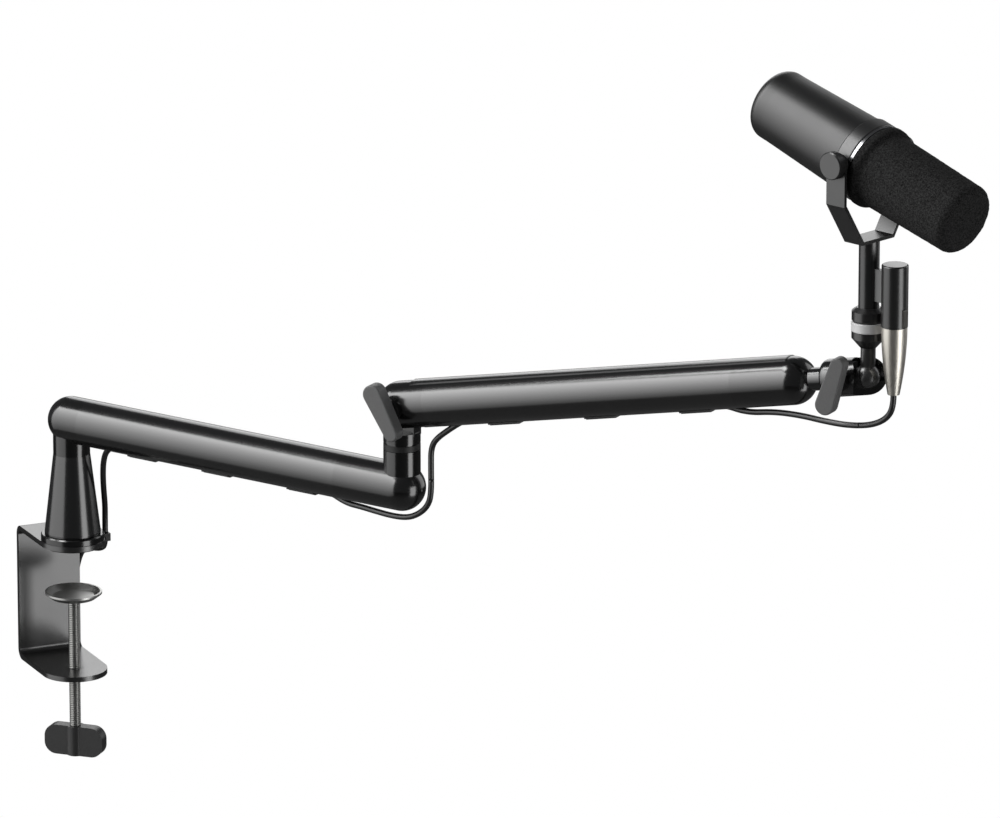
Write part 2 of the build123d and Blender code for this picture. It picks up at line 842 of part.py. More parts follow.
with BuildPart() as yoke:
    with BuildSketch(crossways(mount)):
        with BuildLine():
            Polyline(
                (-yoke_base_half, post_top),
                (yoke_base_half, post_top),
                (ear_outer, yoke_shoulder_rise),
                (ear_outer, ear_top + 2 * yoke_thickness),
                (-ear_outer, ear_top + 2 * yoke_thickness),
                (-ear_outer, yoke_shoulder_rise),
                close=True,
            )
        make_face()
        offset(amount=-yoke_thickness, kind=Kind.INTERSECTION, mode=Mode.SUBTRACT)
    extrude(amount=yoke_width / 2, both=True)
    with BuildSketch(lengthwise(mount)):
        with Locations((0, pivot_rise)):
            Circle(yoke_width / 2)
            Rectangle(yoke_width, pivot_rise - post_top, align=(Align.CENTER, Align.MAX))
    extrude(amount=2 * ear_outer, both=True, mode=Mode.INTERSECT)
    cross_bar(ear_pivot, yoke_stud_radius + running_gap, -2 * ear_outer, 2 * ear_outer, Mode.SUBTRACT)
save(yoke, "yoke")

knob_face = ear_outer + moving_gap
for side, radius, thickness, name in (
    (1, yoke_knob_radius, yoke_knob_thickness, "yoke_knob_right"),
    (-1, yoke_nut_radius, yoke_nut_thickness, "yoke_knob_left"),
):
    outward = lengthwise(ear_pivot, side * knob_face)
    if side < 0:
        outward = Plane(outward.origin, x_dir=outward.x_dir, z_dir=-outward.z_dir)
    with BuildPart() as yoke_knob:
        round_bar(outward, radius, thickness)
        chamfer(yoke_knob.edges().filter_by(GeomType.CIRCLE), length=0.8)
        round_bar(outward.offset(yoke_stud_tip - knob_face), yoke_stud_radius, knob_face - yoke_stud_tip)
    save(yoke_knob, name)

# ---- Socket and plug beside the post ---------------------------------------------------------------
socket = frame_at(mount.from_local_coords((connector_reach, 0, 0)), mount_heading)
socket_radius = xlr_radius - xlr_wall
socket_floor = xlr_bottom + xlr_socket_depth
insert_thickness = 4.0
contact_length = 10.0
latch_width = 4.8
latch_height = 13.0
latch_inner = 8.3
latch_outer = 10.9
latch_bottom = xlr_bottom + 0.8
plug_seam = xlr_bottom - moving_gap
plug_nose_wall = 1.6

with BuildPart() as connector_plate:
    with BuildSketch(lengthwise(mount)):
        with Locations((0, plate_bottom)):
            Rectangle(connector_reach, plate_top - plate_bottom, align=(Align.MIN, Align.MIN))
    extrude(amount=connector_plate_thickness / 2, both=True)
    round_bar(mount, post_radius, post_top, Mode.SUBTRACT)
    round_bar(socket, xlr_radius, post_top, Mode.SUBTRACT)
save(connector_plate, "connector_plate")

with BuildPart() as xlr_housing:
    round_bar(socket.offset(xlr_bottom), xlr_radius, xlr_top - xlr_bottom)
    fillet(xlr_housing.edges().sort_by(Axis.Z)[-1], radius=1.2)
    round_bar(socket.offset(xlr_bottom), socket_radius, xlr_socket_depth, Mode.SUBTRACT)
    with BuildSketch(across(socket, 0)):
        with Locations((0, latch_bottom - moving_gap)):
            Rectangle(
                latch_width + 2 * moving_gap,
                latch_height + 2 * moving_gap,
                align=(Align.CENTER, Align.MIN),
            )
    extrude(amount=2 * xlr_radius, mode=Mode.SUBTRACT)
save(xlr_housing, "xlr_housing")

with BuildPart() as latch_tab:
    with BuildSketch(across(socket, latch_inner)):
        with Locations((0, latch_bottom)):
            Rectangle(latch_width, latch_height, align=(Align.CENTER, Align.MIN))
    extrude(amount=latch_outer - latch_inner)
    chamfer(latch_tab.faces().sort_by(Axis(socket.origin, socket.x_dir))[-1].edges(), length=0.6)
save(latch_tab, "latch_tab")

with BuildPart() as xlr_insert:
    round_bar(socket.offset(socket_floor - insert_thickness), socket_radius, insert_thickness)
    with BuildSketch(socket.offset(socket_floor - insert_thickness - contact_length)):
        with PolarLocations(contact_pitch_radius, 3):
            Circle(contact_radius)
    extrude(amount=contact_length)
save(xlr_insert, "xlr_insert")


def plug(frame, tip, seam, nose_radius, nose_top):
    """Add a lead's plug: a bullet-shaped body that narrows to the lead, and its hollow nose."""
    with BuildSketch(lengthwise(frame)) as section:
        with BuildLine():
            Line((0, tip), (plug_tip_radius, tip))
            ThreePointArc(
                (plug_tip_radius, tip),
                (plug_top_radius - 1.1, seam - 23),
                (plug_top_radius, seam),
            )
            Line((plug_top_radius, seam), (0, seam))
            Line((0, seam), (0, tip))
        make_face()
    revolve(section.sketch, axis=Axis(frame.origin, frame.z_dir))
    round_bar(frame.offset(seam), nose_radius, nose_top - seam)
    round_bar(frame.offset(seam), nose_radius - plug_nose_wall, nose_top - seam, Mode.SUBTRACT)


with BuildPart() as plug_shell:
    plug(
        socket,
        plug_bottom,
        plug_seam,
        socket_radius - slip_gap,
        socket_floor - insert_thickness - moving_gap,
    )
    with BuildSketch(across(socket, latch_inner - 1.5)):
        with Locations((0, plug_seam)):
            Rectangle(2 * plug_top_radius, xlr_socket_depth, align=(Align.CENTER, Align.MIN))
    extrude(amount=plug_top_radius, mode=Mode.SUBTRACT)
save(plug_shell, "plug_shell")

# ---- Microphone ------------------------------------------------------------------------------------
mic_axis = Axis(mic.origin, mic.x_dir)
mic_bore = mic_rear_radius - mic_wall
cap_wall = 3.0

with BuildPart() as mic_body:
    turned(
        lengthwise(mic),
        (
            (cap_seam, mic_bore),
            (cap_seam, mic_rear_radius),
            (collar_back, mic_radius),
            (collar_back, mic_bore),
        ),
        mic_axis,
    )
save(mic_body, "mic_body")

with BuildPart() as rear_cap:
    with BuildSketch(lengthwise(mic)):
        with BuildLine():
            Line((rear_end, 0), (rear_end, mic_rear_radius - cap_round))
            CenterArc((rear_end + cap_round, mic_rear_radius - cap_round), cap_round, 180, -90)
            Polyline(
                (rear_end + cap_round, mic_rear_radius),
                (cap_seam, mic_rear_radius),
                (cap_seam, mic_bore),
                (cap_seam + spigot_length, mic_bore),
                (cap_seam + spigot_length, mic_bore - cap_wall),
                (cap_seam - cap_wall, mic_bore - 2 * cap_wall),
                (rear_end + cap_wall, mic_bore - 3 * cap_wall),
                (rear_end + cap_wall, 0),
                (rear_end, 0),
            )
        make_face()
    revolve(axis=mic_axis)
save(rear_cap, "rear_cap")

with BuildPart() as collar:
    with BuildSketch(lengthwise(mic)):
        with BuildLine():
            Polyline(
                (collar_back, collar_bore_radius),
                (collar_back, mic_radius),
                (collar_back + collar_round, collar_radius),
                (collar_front - collar_round, collar_radius),
            )
            CenterArc(
                (collar_front - collar_round, collar_radius - collar_round), collar_round, 90, -90
            )
            Polyline(
                (collar_front, collar_radius - collar_round),
                (collar_front, collar_bore_radius),
                (collar_back, collar_bore_radius),
            )
        make_face()
    revolve(axis=mic_axis)
    for start, end in ((side_boss_start, side_boss_reach), (-side_boss_reach, -side_boss_start)):
        cross_bar(mic_hinge, side_boss_radius, start, end)
    for start, end in ((collar_bore_radius + 2, side_boss_reach), (-side_boss_reach, -collar_bore_radius - 2)):
        cross_bar(mic_hinge, side_stem_radius, start, end)
    for start, end in ((yoke_stud_tip - 1, ear_outer), (-ear_outer, 1 - yoke_stud_tip)):
        cross_bar(mic_hinge, yoke_stud_radius + running_gap, start, end, Mode.SUBTRACT)
save(collar, "collar")

with BuildPart() as trim_ring:
    sleeve(
        across(mic, collar_front),
        trim_ring_radius,
        collar_bore_radius,
        trim_ring_front - collar_front,
    )
save(trim_ring, "trim_ring")

with BuildPart() as windscreen:
    with BuildSketch(lengthwise(mic)):
        with BuildLine():
            Polyline(
                (trim_ring_front, foam_bore_radius),
                (trim_ring_front, foam_rim_radius - foam_rim_round),
                (trim_ring_front + foam_rim_round, foam_rim_radius),
                (foam_rim_front, foam_rim_radius),
                (foam_rim_foot, foam_radius),
                (foam_front - foam_round, foam_front_radius),
            )
            CenterArc((foam_front - foam_round, foam_front_radius - foam_round), foam_round, 90, -90)
            Polyline(
                (foam_front, foam_front_radius - foam_round),
                (foam_front, 0),
                (foam_front - foam_face_thickness, 0),
                (foam_front - foam_face_thickness, foam_bore_radius),
                (trim_ring_front, foam_bore_radius),
            )
        make_face()
    revolve(axis=mic_axis)
save(windscreen, "windscreen")

cage_back = collar_back + 4.0
cage_front = foam_front - foam_face_thickness
cage_rows = 3
cage_bridge = 4.0

with BuildPart() as inner_cage:
    sleeve(across(mic, cage_back), foam_bore_radius, foam_bore_radius - cage_wall, cage_front - cage_back)
    round_bar(across(mic, cage_front - cage_wall), foam_bore_radius, cage_wall)
    sleeve(
        across(mic, cage_back),
        collar_bore_radius,
        foam_bore_radius - cage_wall,
        collar_front - cage_back,
    )
    window_length = (cage_front - trim_ring_front - (cage_rows + 1) * cage_bridge) / cage_rows
    for row in range(cage_rows):
        row_start = trim_ring_front + cage_bridge + row * (window_length + cage_bridge)
        with BuildSketch(across(mic, row_start)) as section:
            with PolarLocations(foam_bore_radius, cage_rib_count):
                Rectangle(4 * cage_wall, foam_bore_radius / 3)
        extrude(section.sketch, amount=window_length, mode=Mode.SUBTRACT)
save(inner_cage, "inner_cage")

with BuildPart() as capsule:
    round_bar(across(mic, capsule_back), foam_bore_radius - cage_wall, 3)
    round_bar(across(mic, capsule_back), capsule_radius, capsule_length)
    chamfer(capsule.edges().filter_by(GeomType.CIRCLE).sort_by(mic_axis)[-1], length=2)
save(capsule, "capsule")

board_drop = 8.0
board_half_width = (mic_bore**2 - (board_drop + board_thickness / 2) ** 2) ** 0.5

with BuildPart() as circuit_board:
    with BuildSketch(mic.offset(-board_drop)):
        with Locations((collar_back - 8, 0)):
            Rectangle(board_length, 2 * board_half_width, align=(Align.MAX, Align.CENTER))
    extrude(amount=board_thickness / 2, both=True)
save(circuit_board, "circuit_board")

# ---- Lead ------------------------------------------------------------------------------------------
def in_groove(frame, distance, drop=cord_drop):
    """Point under a tube's axis, by default where the lead lies in the groove."""
    return frame.from_local_coords((distance, 0, -drop))


def by_elbow(x, y, z):
    """Point this far from the elbow, along the model's own axes."""
    return elbow_centre + Vector(x, y, z)


def by_ball(x, y, z):
    """Point this far from the ball's centre, along the model's own axes."""
    return ball_centre + Vector(x, y, z)


def lead(route, start_gap=0.0):
    """Add a length of lead: straight runs between a route's points, joined by tangent arcs."""
    points = [Vector(*point) for point in route]
    points[0] += (points[1] - points[0]).normalized() * start_gap
    bends = []
    for before, corner, after in zip(points, points[1:], points[2:]):
        arriving = corner - before
        leaving = after - corner
        half_turn = radians(arriving.get_angle(leaving) / 2)
        bends.append(bend_share * min(arriving.length, leaving.length) / tan(half_turn))
    with BuildLine() as path:
        FilletPolyline(*points, radius=bends)
    with BuildSketch(Plane(path.line @ 0, z_dir=path.line % 0)) as section:
        Circle(cord_radius)
    sweep(section.sketch, path=path.line)


def halves(route, run):
    """Split a route into two that meet in the middle of one of its runs."""
    middle = (Vector(*route[run]) + Vector(*route[run + 1])) / 2
    return route[: run + 1] + [middle], [middle] + route[run + 1 :]


clip_x, clip_y = clip_centre
clip_width_x, clip_width_y, clip_top = clip_block
end_plug_y = clamp_back + end_plug_standoff
hank_x, hank_z = hank_place

lower_cord_end = elbow_seam - lower_cord_exit
upper_cord_end = nose_seam - upper_cord_exit

base_loop = [
    in_groove(lower, lower_cord_start),
    in_groove(lower, 41.0),
    (17.8, -26.5, 80.0),
    (18.6, -19.0, 70.0),
    (20.8, -12.0, 58.5),
    (23.5, -6.0, 44.5),
    (26.9, 0.0, 29.0),
    (clip_x, clip_y, 17.0),
    (clip_x, clip_y, clip_top),
]
middle_loop = [
    in_groove(lower, lower_cord_end),
    in_groove(lower, lower_cord_end + 12),
    in_groove(lower, elbow_seam, 21.4),
    by_elbow(-19.4, 32.9, -21.9),
    by_elbow(-12.5, 21.3, -23.1),
    by_elbow(-4.3, 7.3, -24.1),
    by_elbow(2.6, -4.5, -23.0),
    by_elbow(7.6, -13.0, -18.6),
    by_elbow(11.7, -19.8, -11.6),
    by_elbow(13.6, -23.3, -2.1),
    by_elbow(14.8, -20.2, 21.4),
    by_elbow(15.2, -19.6, 32.9),
    by_elbow(17.4, -22.5, 40.9),
    in_groove(upper, 38.5, 20.2),
    in_groove(upper, 52.0),
    in_groove(upper, upper_cord_start),
]
mic_loop = [
    in_groove(upper, upper_cord_end),
    in_groove(upper, upper_cord_end + 12),
    in_groove(upper, nose_seam + 1.5, 21.8),
    in_groove(upper, nose_seam + 24.5, 22.4),
    by_ball(-33.4, 39.5, -36.4),
    by_ball(-22.5, 24.0, -37.9),
    by_ball(-11.0, 7.6, -38.2),
    by_ball(-0.3, -7.6, -35.2),
    by_ball(6.7, -17.5, -28.8),
    socket.from_local_coords((0, 0, plug_bottom - 10)),
    socket.from_local_coords((0, 0, plug_bottom)),
]
tail = [
    (clip_x, clip_y, clip_top - moving_gap),
    (clip_x, clip_y, -4.0),
    (clip_x, 12.5, -9.5),
    (clip_x, 31.0, -14.0),
    (clip_x + 0.5, clamp_back - 3.0, -21.0),
    (clip_x, clamp_back + 5.0, -31.0),
    (25.5, clamp_back + 6.0, -43.5),
    (21.0, clamp_back + 4.5, -55.0),
]
end_loop = [
    (-10.6, clamp_back + 13.5, -50.0),
    (-9.6, clamp_back + 14.5, -39.5),
    (-6.5, clamp_back + 18.0, -30.0),
    (-1.0, clamp_back + 24.5, -26.0),
    (end_plug_place, end_plug_y, -30.5),
    (end_plug_place, end_plug_y, end_plug_top),
]
middle_low, middle_high = halves(middle_loop, 9)
mic_low, mic_high = halves(mic_loop, 6)

for frame, start, end, name in (
    (lower, lower_cord_start, lower_cord_end, "cord_lower_run"),
    (upper, upper_cord_start, upper_cord_end, "cord_upper_run"),
):
    with BuildPart() as cord_run:
        start_plane = Plane(in_groove(frame, start), z_dir=frame.x_dir)
        round_bar(start_plane, cord_radius, end - start)
    save(cord_run, name)

for route, start_gap, name in (
    (base_loop, 0.0, "cord_base_loop"),
    (middle_low, moving_gap, "cord_mid_low"),
    (middle_high, moving_gap, "cord_mid_high"),
    (mic_low, moving_gap, "cord_mic_low"),
    (mic_high, moving_gap, "cord_mic_high"),
):
    with BuildPart() as cord_loop:
        lead(route, start_gap)
    save(cord_loop, name)

with BuildPart() as cord_tail:
    lead(tail)
    lead(end_loop)
save(cord_tail, "cord_tail")

with BuildPart() as cable_clip:
    with BuildSketch():
        with Locations((clamp_width / 2, clip_y)):
            Rectangle(clip_width_x, clip_width_y, align=(Align.MIN, Align.CENTER))
        with Locations(clip_centre):
            Circle(cord_radius, mode=Mode.SUBTRACT)
    extrude(amount=clip_top)
save(cable_clip, "cable_clip")

with BuildPart() as cord_hank:
    hank_plane = Plane((hank_x, clamp_back + hank_standoff, hank_z), x_dir=(0, 0, 1), z_dir=(0, 1, 0))
    with BuildSketch(hank_plane):
        SlotOverall(hank_height, hank_width)
    extrude(amount=hank_depth / 2, both=True)
    fillet(cord_hank.edges(), radius=hank_round)
save(cord_hank, "cord_hank")

end_frame = Plane((end_plug_place, end_plug_y, end_plug_top), z_dir=(0, 0, -1))

with BuildPart() as end_plug:
    plug(end_frame, 0, end_plug_seam, end_plug_radius, end_plug_length)
    with BuildSketch(end_frame.offset(end_plug_seam)):
        with PolarLocations(contact_pitch_radius, 3):
            Circle(contact_radius)
    extrude(amount=contact_length)
save(end_plug, "end_plug")
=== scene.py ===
"""Looks of a broadcast microphone on a low-profile desk boom arm.

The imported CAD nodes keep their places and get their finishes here. New surfaces are worked out
with numpy: the foam windscreen, the thread of the clamp screw, and the lead with its hank.
Metres, +Z up, origin on the riser's axis in the plane of the desk top.
"""

import math

import bpy
import numpy as np
from mathutils import Matrix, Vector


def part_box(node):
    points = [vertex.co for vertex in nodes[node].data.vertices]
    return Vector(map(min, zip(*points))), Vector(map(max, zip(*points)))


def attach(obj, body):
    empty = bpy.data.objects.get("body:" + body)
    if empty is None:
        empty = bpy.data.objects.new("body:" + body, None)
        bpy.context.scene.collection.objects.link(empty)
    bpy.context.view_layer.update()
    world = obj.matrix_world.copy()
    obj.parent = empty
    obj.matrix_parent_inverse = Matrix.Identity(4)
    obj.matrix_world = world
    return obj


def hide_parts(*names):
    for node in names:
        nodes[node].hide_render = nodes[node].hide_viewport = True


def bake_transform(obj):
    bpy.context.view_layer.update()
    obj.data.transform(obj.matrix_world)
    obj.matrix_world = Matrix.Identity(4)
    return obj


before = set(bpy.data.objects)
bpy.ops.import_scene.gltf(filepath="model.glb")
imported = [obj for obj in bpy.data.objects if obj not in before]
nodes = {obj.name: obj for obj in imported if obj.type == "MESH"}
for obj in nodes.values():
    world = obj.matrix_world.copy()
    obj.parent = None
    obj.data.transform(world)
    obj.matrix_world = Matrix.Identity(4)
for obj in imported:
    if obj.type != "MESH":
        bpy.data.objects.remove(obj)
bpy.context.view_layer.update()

MM = 0.001


# ---- Frames of the assemblies at rest ------------------------------------------------------------
def pointing(heading, tilt=0.0):
    """Unit vector at a heading from +X and a tilt above the horizontal, in degrees."""
    h, t = math.radians(heading), math.radians(tilt)
    return np.array((math.cos(t) * math.cos(h), math.cos(t) * math.sin(h), math.sin(t)))


class Place:
    """A frame with x along a piece, y to its left and z its upward side; lengths in millimetres."""

    def __init__(self, origin, heading, tilt=0.0):
        self.origin = np.asarray(origin, float)
        self.x = pointing(heading, tilt)
        self.z = pointing(heading, tilt + 90)
        self.y = np.cross(self.z, self.x)

    def at(self, x=0.0, y=0.0, z=0.0):
        """Points in metres from local millimetres; whole arrays may be given."""
        x, y, z = (np.asarray(v, float)[..., None] for v in (x, y, z))
        return (self.origin + x * self.x + y * self.y + z * self.z) * MM


LOWER_HEIGHT, LOWER_HEADING, LOWER_LENGTH = 100.6, -59.5, 313.7
HINGE_HEIGHT, UPPER_HEADING, UPPER_TILT, BALL_REACH = 164.5, -52.4, 10.9, 392.7
MOUNT_HEADING, SOCKET_REACH, YOKE_HEIGHT = -68.0, 25.0, 164.4
MIC_PITCH, MIC_DROP = -16.7, 4.6  # tilt, and yoke pivot down to the microphone's axis
LOWER = Place((0, 0, LOWER_HEIGHT), LOWER_HEADING)
ELBOW = LOWER.at(LOWER_LENGTH) / MM
UPPER = Place((ELBOW[0], ELBOW[1], HINGE_HEIGHT), UPPER_HEADING, UPPER_TILT)
BALL = UPPER.at(BALL_REACH) / MM
MOUNT = Place(BALL, MOUNT_HEADING)
SOCKET = Place(MOUNT.at(SOCKET_REACH) / MM, MOUNT_HEADING)
PIVOT = MOUNT.at(0, 0, YOKE_HEIGHT) / MM
TILTED = Place(PIVOT, MOUNT_HEADING, MIC_PITCH)
MIC = Place(TILTED.at(0, 0, -MIC_DROP) / MM, MOUNT_HEADING, MIC_PITCH)
CLAMP = Place((0, 0, 0), 0.0)

# ---- Camera --------------------------------------------------------------------------------------
VIEW_AZIMUTH, VIEW_ELEVATION, VIEW_DISTANCE = -24.0, 16.0, 7.0
FOCAL_SHARE = 9.1  # focal length over the picture's width
SENSOR_WIDTH = 36.0
AIM_RIGHT, AIM_UP = 0.3285, 0.1047  # view centre from the origin, across the view
CLIP_END = 60.0


def aimed(azimuth, elevation):
    """Rotation whose right, up and backward axes look from an azimuth and elevation."""
    a, e = math.radians(azimuth), math.radians(elevation)
    right = np.array((math.cos(a), math.sin(a), 0.0))
    back = np.array((math.sin(a) * math.cos(e), -math.cos(a) * math.cos(e), math.sin(e)))
    return np.column_stack((right, np.cross(back, right), back))


def looking(columns, place):
    """Matrix of an object whose axes are three columns, standing at a place."""
    matrix = np.eye(4)
    matrix[:3, :3] = columns
    matrix[:3, 3] = place
    return [list(row) for row in matrix]


scene = bpy.context.scene
scene.view_settings.view_transform = "Standard"
camera_axes = aimed(VIEW_AZIMUTH, VIEW_ELEVATION)
camera_data = bpy.data.cameras.new("camera")
camera_data.sensor_fit = "HORIZONTAL"
camera_data.sensor_width = SENSOR_WIDTH
camera_data.lens = SENSOR_WIDTH * FOCAL_SHARE
camera_data.clip_end = CLIP_END
camera = bpy.data.objects.new("camera", camera_data)
scene.collection.objects.link(camera)
camera.matrix_world = Matrix(
    looking(camera_axes, camera_axes @ np.array((AIM_RIGHT, AIM_UP, VIEW_DISTANCE)))
)
scene.camera = camera


# ---- Materials -----------------------------------------------------------------------------------
class Finish:
    """A procedural material: object-space grain drives its colour, roughness and bump."""

    def __init__(self, name, roughness=0.4, metallic=0.0, ior=1.45, **shader):
        self.material = bpy.data.materials.new(name)
        self.material.use_nodes = True
        self.tree = self.material.node_tree
        self.shader = self.tree.nodes["Principled BSDF"]
        self.shader.inputs["Metallic"].default_value = metallic
        self.shader.inputs["Roughness"].default_value = roughness
        self.shader.inputs["IOR"].default_value = ior
        for socket, value in shader.items():
            self.shader.inputs[socket.replace("_", " ")].default_value = value
        self.place = self.node("ShaderNodeTexCoord").outputs["Object"]
        self.normal = None

    def node(self, kind, **settings):
        made = self.tree.nodes.new(kind)
        for key, value in settings.items():
            setattr(made, key, value)
        return made

    def link(self, source, target):
        self.tree.links.new(source, target)

    def turned_place(self, where, stretch=(1, 1, 1)):
        """Coordinates along a frame's x, y and z from its origin, stretched by three factors."""
        rotation = Matrix([list(where.x), list(where.y), list(where.z)]).transposed()
        mapping = self.node("ShaderNodeMapping", vector_type="TEXTURE")
        mapping.inputs["Location"].default_value = where.origin * MM
        mapping.inputs["Rotation"].default_value = rotation.to_euler("XYZ")
        self.link(self.place, mapping.inputs["Vector"])
        scaled = self.node("ShaderNodeVectorMath", operation="MULTIPLY")
        scaled.inputs[1].default_value = stretch
        self.link(mapping.outputs["Vector"], scaled.inputs[0])
        return scaled.outputs["Vector"]

    def noise(self, scale, detail=3.0, roughness=0.5, place=None):
        made = self.node("ShaderNodeTexNoise")
        made.inputs["Scale"].default_value = scale
        made.inputs["Detail"].default_value = detail
        made.inputs["Roughness"].default_value = roughness
        self.link(place or self.place, made.inputs["Vector"])
        return made.outputs["Fac"]

    def cells(self, scale):
        made = self.node("ShaderNodeTexVoronoi", feature="F1")
        made.inputs["Scale"].default_value = scale
        self.link(self.place, made.inputs["Vector"])
        return made.outputs["Distance"]

    def colour(self, value, low, high, start=0.3, end=0.7):
        """Blend two colours by a value between start and end."""
        ramp = self.node("ShaderNodeValToRGB")
        first, last = ramp.color_ramp.elements
        first.position, last.position = start, end
        first.color = (*low, 1)
        last.color = (*high, 1)
        self.link(value, ramp.inputs["Fac"])
        self.link(ramp.outputs["Color"], self.shader.inputs["Base Color"])
        return self

    def rough(self, value, low, high, start=0.3, end=0.7):
        spread = self.node("ShaderNodeMapRange")
        limits = {"From Min": start, "From Max": end, "To Min": low, "To Max": high}
        for socket, number in limits.items():
            spread.inputs[socket].default_value = number
        self.link(value, spread.inputs["Value"])
        self.link(spread.outputs["Result"], self.shader.inputs["Roughness"])
        return self

    def bump(self, value, height_mm, strength=1.0):
        """Raise the surface by a value between 0 and 1 times a height."""
        made = self.node("ShaderNodeBump")
        made.inputs["Strength"].default_value = strength
        made.inputs["Distance"].default_value = height_mm * MM
        self.link(value, made.inputs["Height"])
        if self.normal is not None:
            self.link(self.normal, made.inputs["Normal"])
        self.normal = made.outputs["Normal"]
        self.link(self.normal, self.shader.inputs["Normal"])
        return self


CLOUD_SCALE, PEEL_SCALE = 38.0, 1500.0  # a coat's cloudiness and orange peel
BRUSH_SCALE = 60.0
CELL_SCALE, TUFT_SCALE, CELL_SHARE = 1150.0, 700.0, 0.55  # the foam's cells in its tufts
RIB_SCALE = 900.0
TRACE_SCALE = 400.0


def grey(level):
    """Neutral grey as a colour."""
    return (level, level, level)


def coat(name, level, roughness, ior=1.75, bump_mm=0.010):
    """Satin black coat: a faint orange-peel bump and cloudy roughness."""
    made = Finish(name, roughness=roughness, ior=ior)
    cloud = made.noise(CLOUD_SCALE, detail=2.0)
    made.colour(cloud, grey(level * 0.96), grey(level * 1.04))
    made.rough(cloud, roughness * 0.98, roughness * 1.02)
    made.bump(made.noise(PEEL_SCALE, detail=2.0), bump_mm)
    return made.material


def brushed(name, colour, where, roughness, stretch=(1, 60, 60), metallic=1.0, bump_mm=0.004):
    """Turned or brushed metal: fine lines across a frame's stretched axes."""
    made = Finish(name, roughness=roughness, metallic=metallic)
    lines = made.noise(BRUSH_SCALE, detail=4.0, place=made.turned_place(where, stretch))
    dark, light = (tuple(min(1, c * share) for c in colour) for share in (0.93, 1.05))
    made.colour(lines, dark, light)
    made.rough(lines, roughness * 0.85, roughness * 1.15)
    made.bump(lines, bump_mm)
    return made.material


def moulded(name, level, roughness, grain=1800.0, bump_mm=0.03):
    """Moulded plastic with a spark-eroded grain."""
    made = Finish(name, roughness=roughness)
    spark = made.noise(grain, detail=2.0, roughness=0.65)
    made.colour(spark, grey(level * 0.9), grey(level * 1.15))
    made.bump(spark, bump_mm)
    return made.material


# Coats: grey level, roughness, IOR and height of the orange peel in mm.
TUBE_COAT = coat("tube_coat", 0.004, 0.20, 1.8, 0.003)
CAST_COAT = coat("casting_coat", 0.004, 0.18, 1.75, 0.003)
CLAMP_COAT = coat("clamp_coat", 0.005, 0.28, 2.05)
MIC_COAT = coat("microphone_coat", 0.004, 0.41, 1.66, 0.006)
COLLAR_COAT = coat("collar_coat", 0.008, 0.38, 1.85, 0.006)
MOUNT_COAT = coat("mount_coat", 0.007, 0.29, 1.75, 0.004)
YOKE_COAT = coat("yoke_coat", 0.005, 0.34, 1.75)
PLATE_COAT = coat("plate_coat", 0.075, 0.40, 1.7)
BALL_COAT = coat("ball_coat", 0.014, 0.32, 1.9, 0.002)
# Plastics: grey level, roughness, scale of the grain and its height in mm.
KNOB_PLASTIC = moulded("knob_plastic", 0.098, 0.50)
CLIP_PLASTIC = moulded("clip_plastic", 0.010, 0.45)
HANDLE_PLASTIC = moulded("handle_plastic", 0.024, 0.36)
RUBBER = moulded("rubber", 0.014, 0.7, 900.0, 0.05)
# Metals: colour, frame that the lines follow, roughness and the stretch along its axes.
STEEL = brushed("bright_steel", (0.26, 0.26, 0.25), CLAMP, 0.34, (60, 60, 1))
DISH_STEEL = brushed("dish_steel", (0.46, 0.46, 0.45), CLAMP, 0.36, (20, 20, 60))
PLUG_NICKEL = brushed("plug_nickel", (0.62, 0.595, 0.54), SOCKET, 0.38, (30, 30, 1))
RING_SILVER = brushed("ring_silver", (0.56, 0.56, 0.56), MOUNT, 0.42, (1, 1, 60), metallic=0.15)
LATCH_GREY = brushed("latch_grey", (0.20, 0.19, 0.18), SOCKET, 0.38, (40, 40, 1))
CHROME = brushed("trim_chrome", (0.30, 0.30, 0.31), MIC, 0.22, (60, 1, 1))
CAGE_METAL = brushed("cage_metal", (0.12, 0.12, 0.12), MIC, 0.4, (60, 1, 1))
CAPSULE_METAL = brushed("capsule_metal", (0.62, 0.50, 0.26), MIC, 0.35, (60, 1, 1))


def laminate():
    """Green circuit board with copper traces under the mask."""
    made = Finish("board_laminate", roughness=0.35)
    traces = made.node("ShaderNodeTexBrick")
    traces.inputs["Scale"].default_value = TRACE_SCALE
    made.link(made.place, traces.inputs["Vector"])
    made.colour(traces.outputs["Fac"], (0.01, 0.09, 0.03), (0.03, 0.20, 0.07))
    return made.material


def foam():
    """Open-cell foam, soft and without gloss: the cells are painted near black as shade in the
    pores, with paler cell walls, and the tufts vary the tone at random.
    """
    made = Finish("foam", roughness=1.0, ior=1.15)
    walls = made.cells(CELL_SCALE)
    tufts = made.noise(TUFT_SCALE, detail=4.0, roughness=0.65)
    both = made.node("ShaderNodeMath", operation="MULTIPLY_ADD")
    both.inputs[1].default_value = CELL_SHARE
    made.link(walls, both.inputs[0])
    made.link(tufts, both.inputs[2])
    # Painted shade: the darkest tone falls in the pores, where the bump is lowest; the tufts add
    # random tone.
    made.colour(both.outputs["Value"], grey(0.003), grey(0.036), 0.50, 0.98)
    made.bump(both.outputs["Value"], 0.25, 0.7)
    return made.material


def jacket():
    """Lead jacket: smooth soft plastic, faintly ribbed around."""
    made = Finish("lead_jacket", roughness=0.30, ior=1.6)
    ribs = made.noise(RIB_SCALE, detail=2.0)
    made.colour(ribs, grey(0.009), grey(0.014))
    made.bump(ribs, 0.02)
    return made.material


BOARD = laminate()
FOAM = foam()
JACKET = jacket()

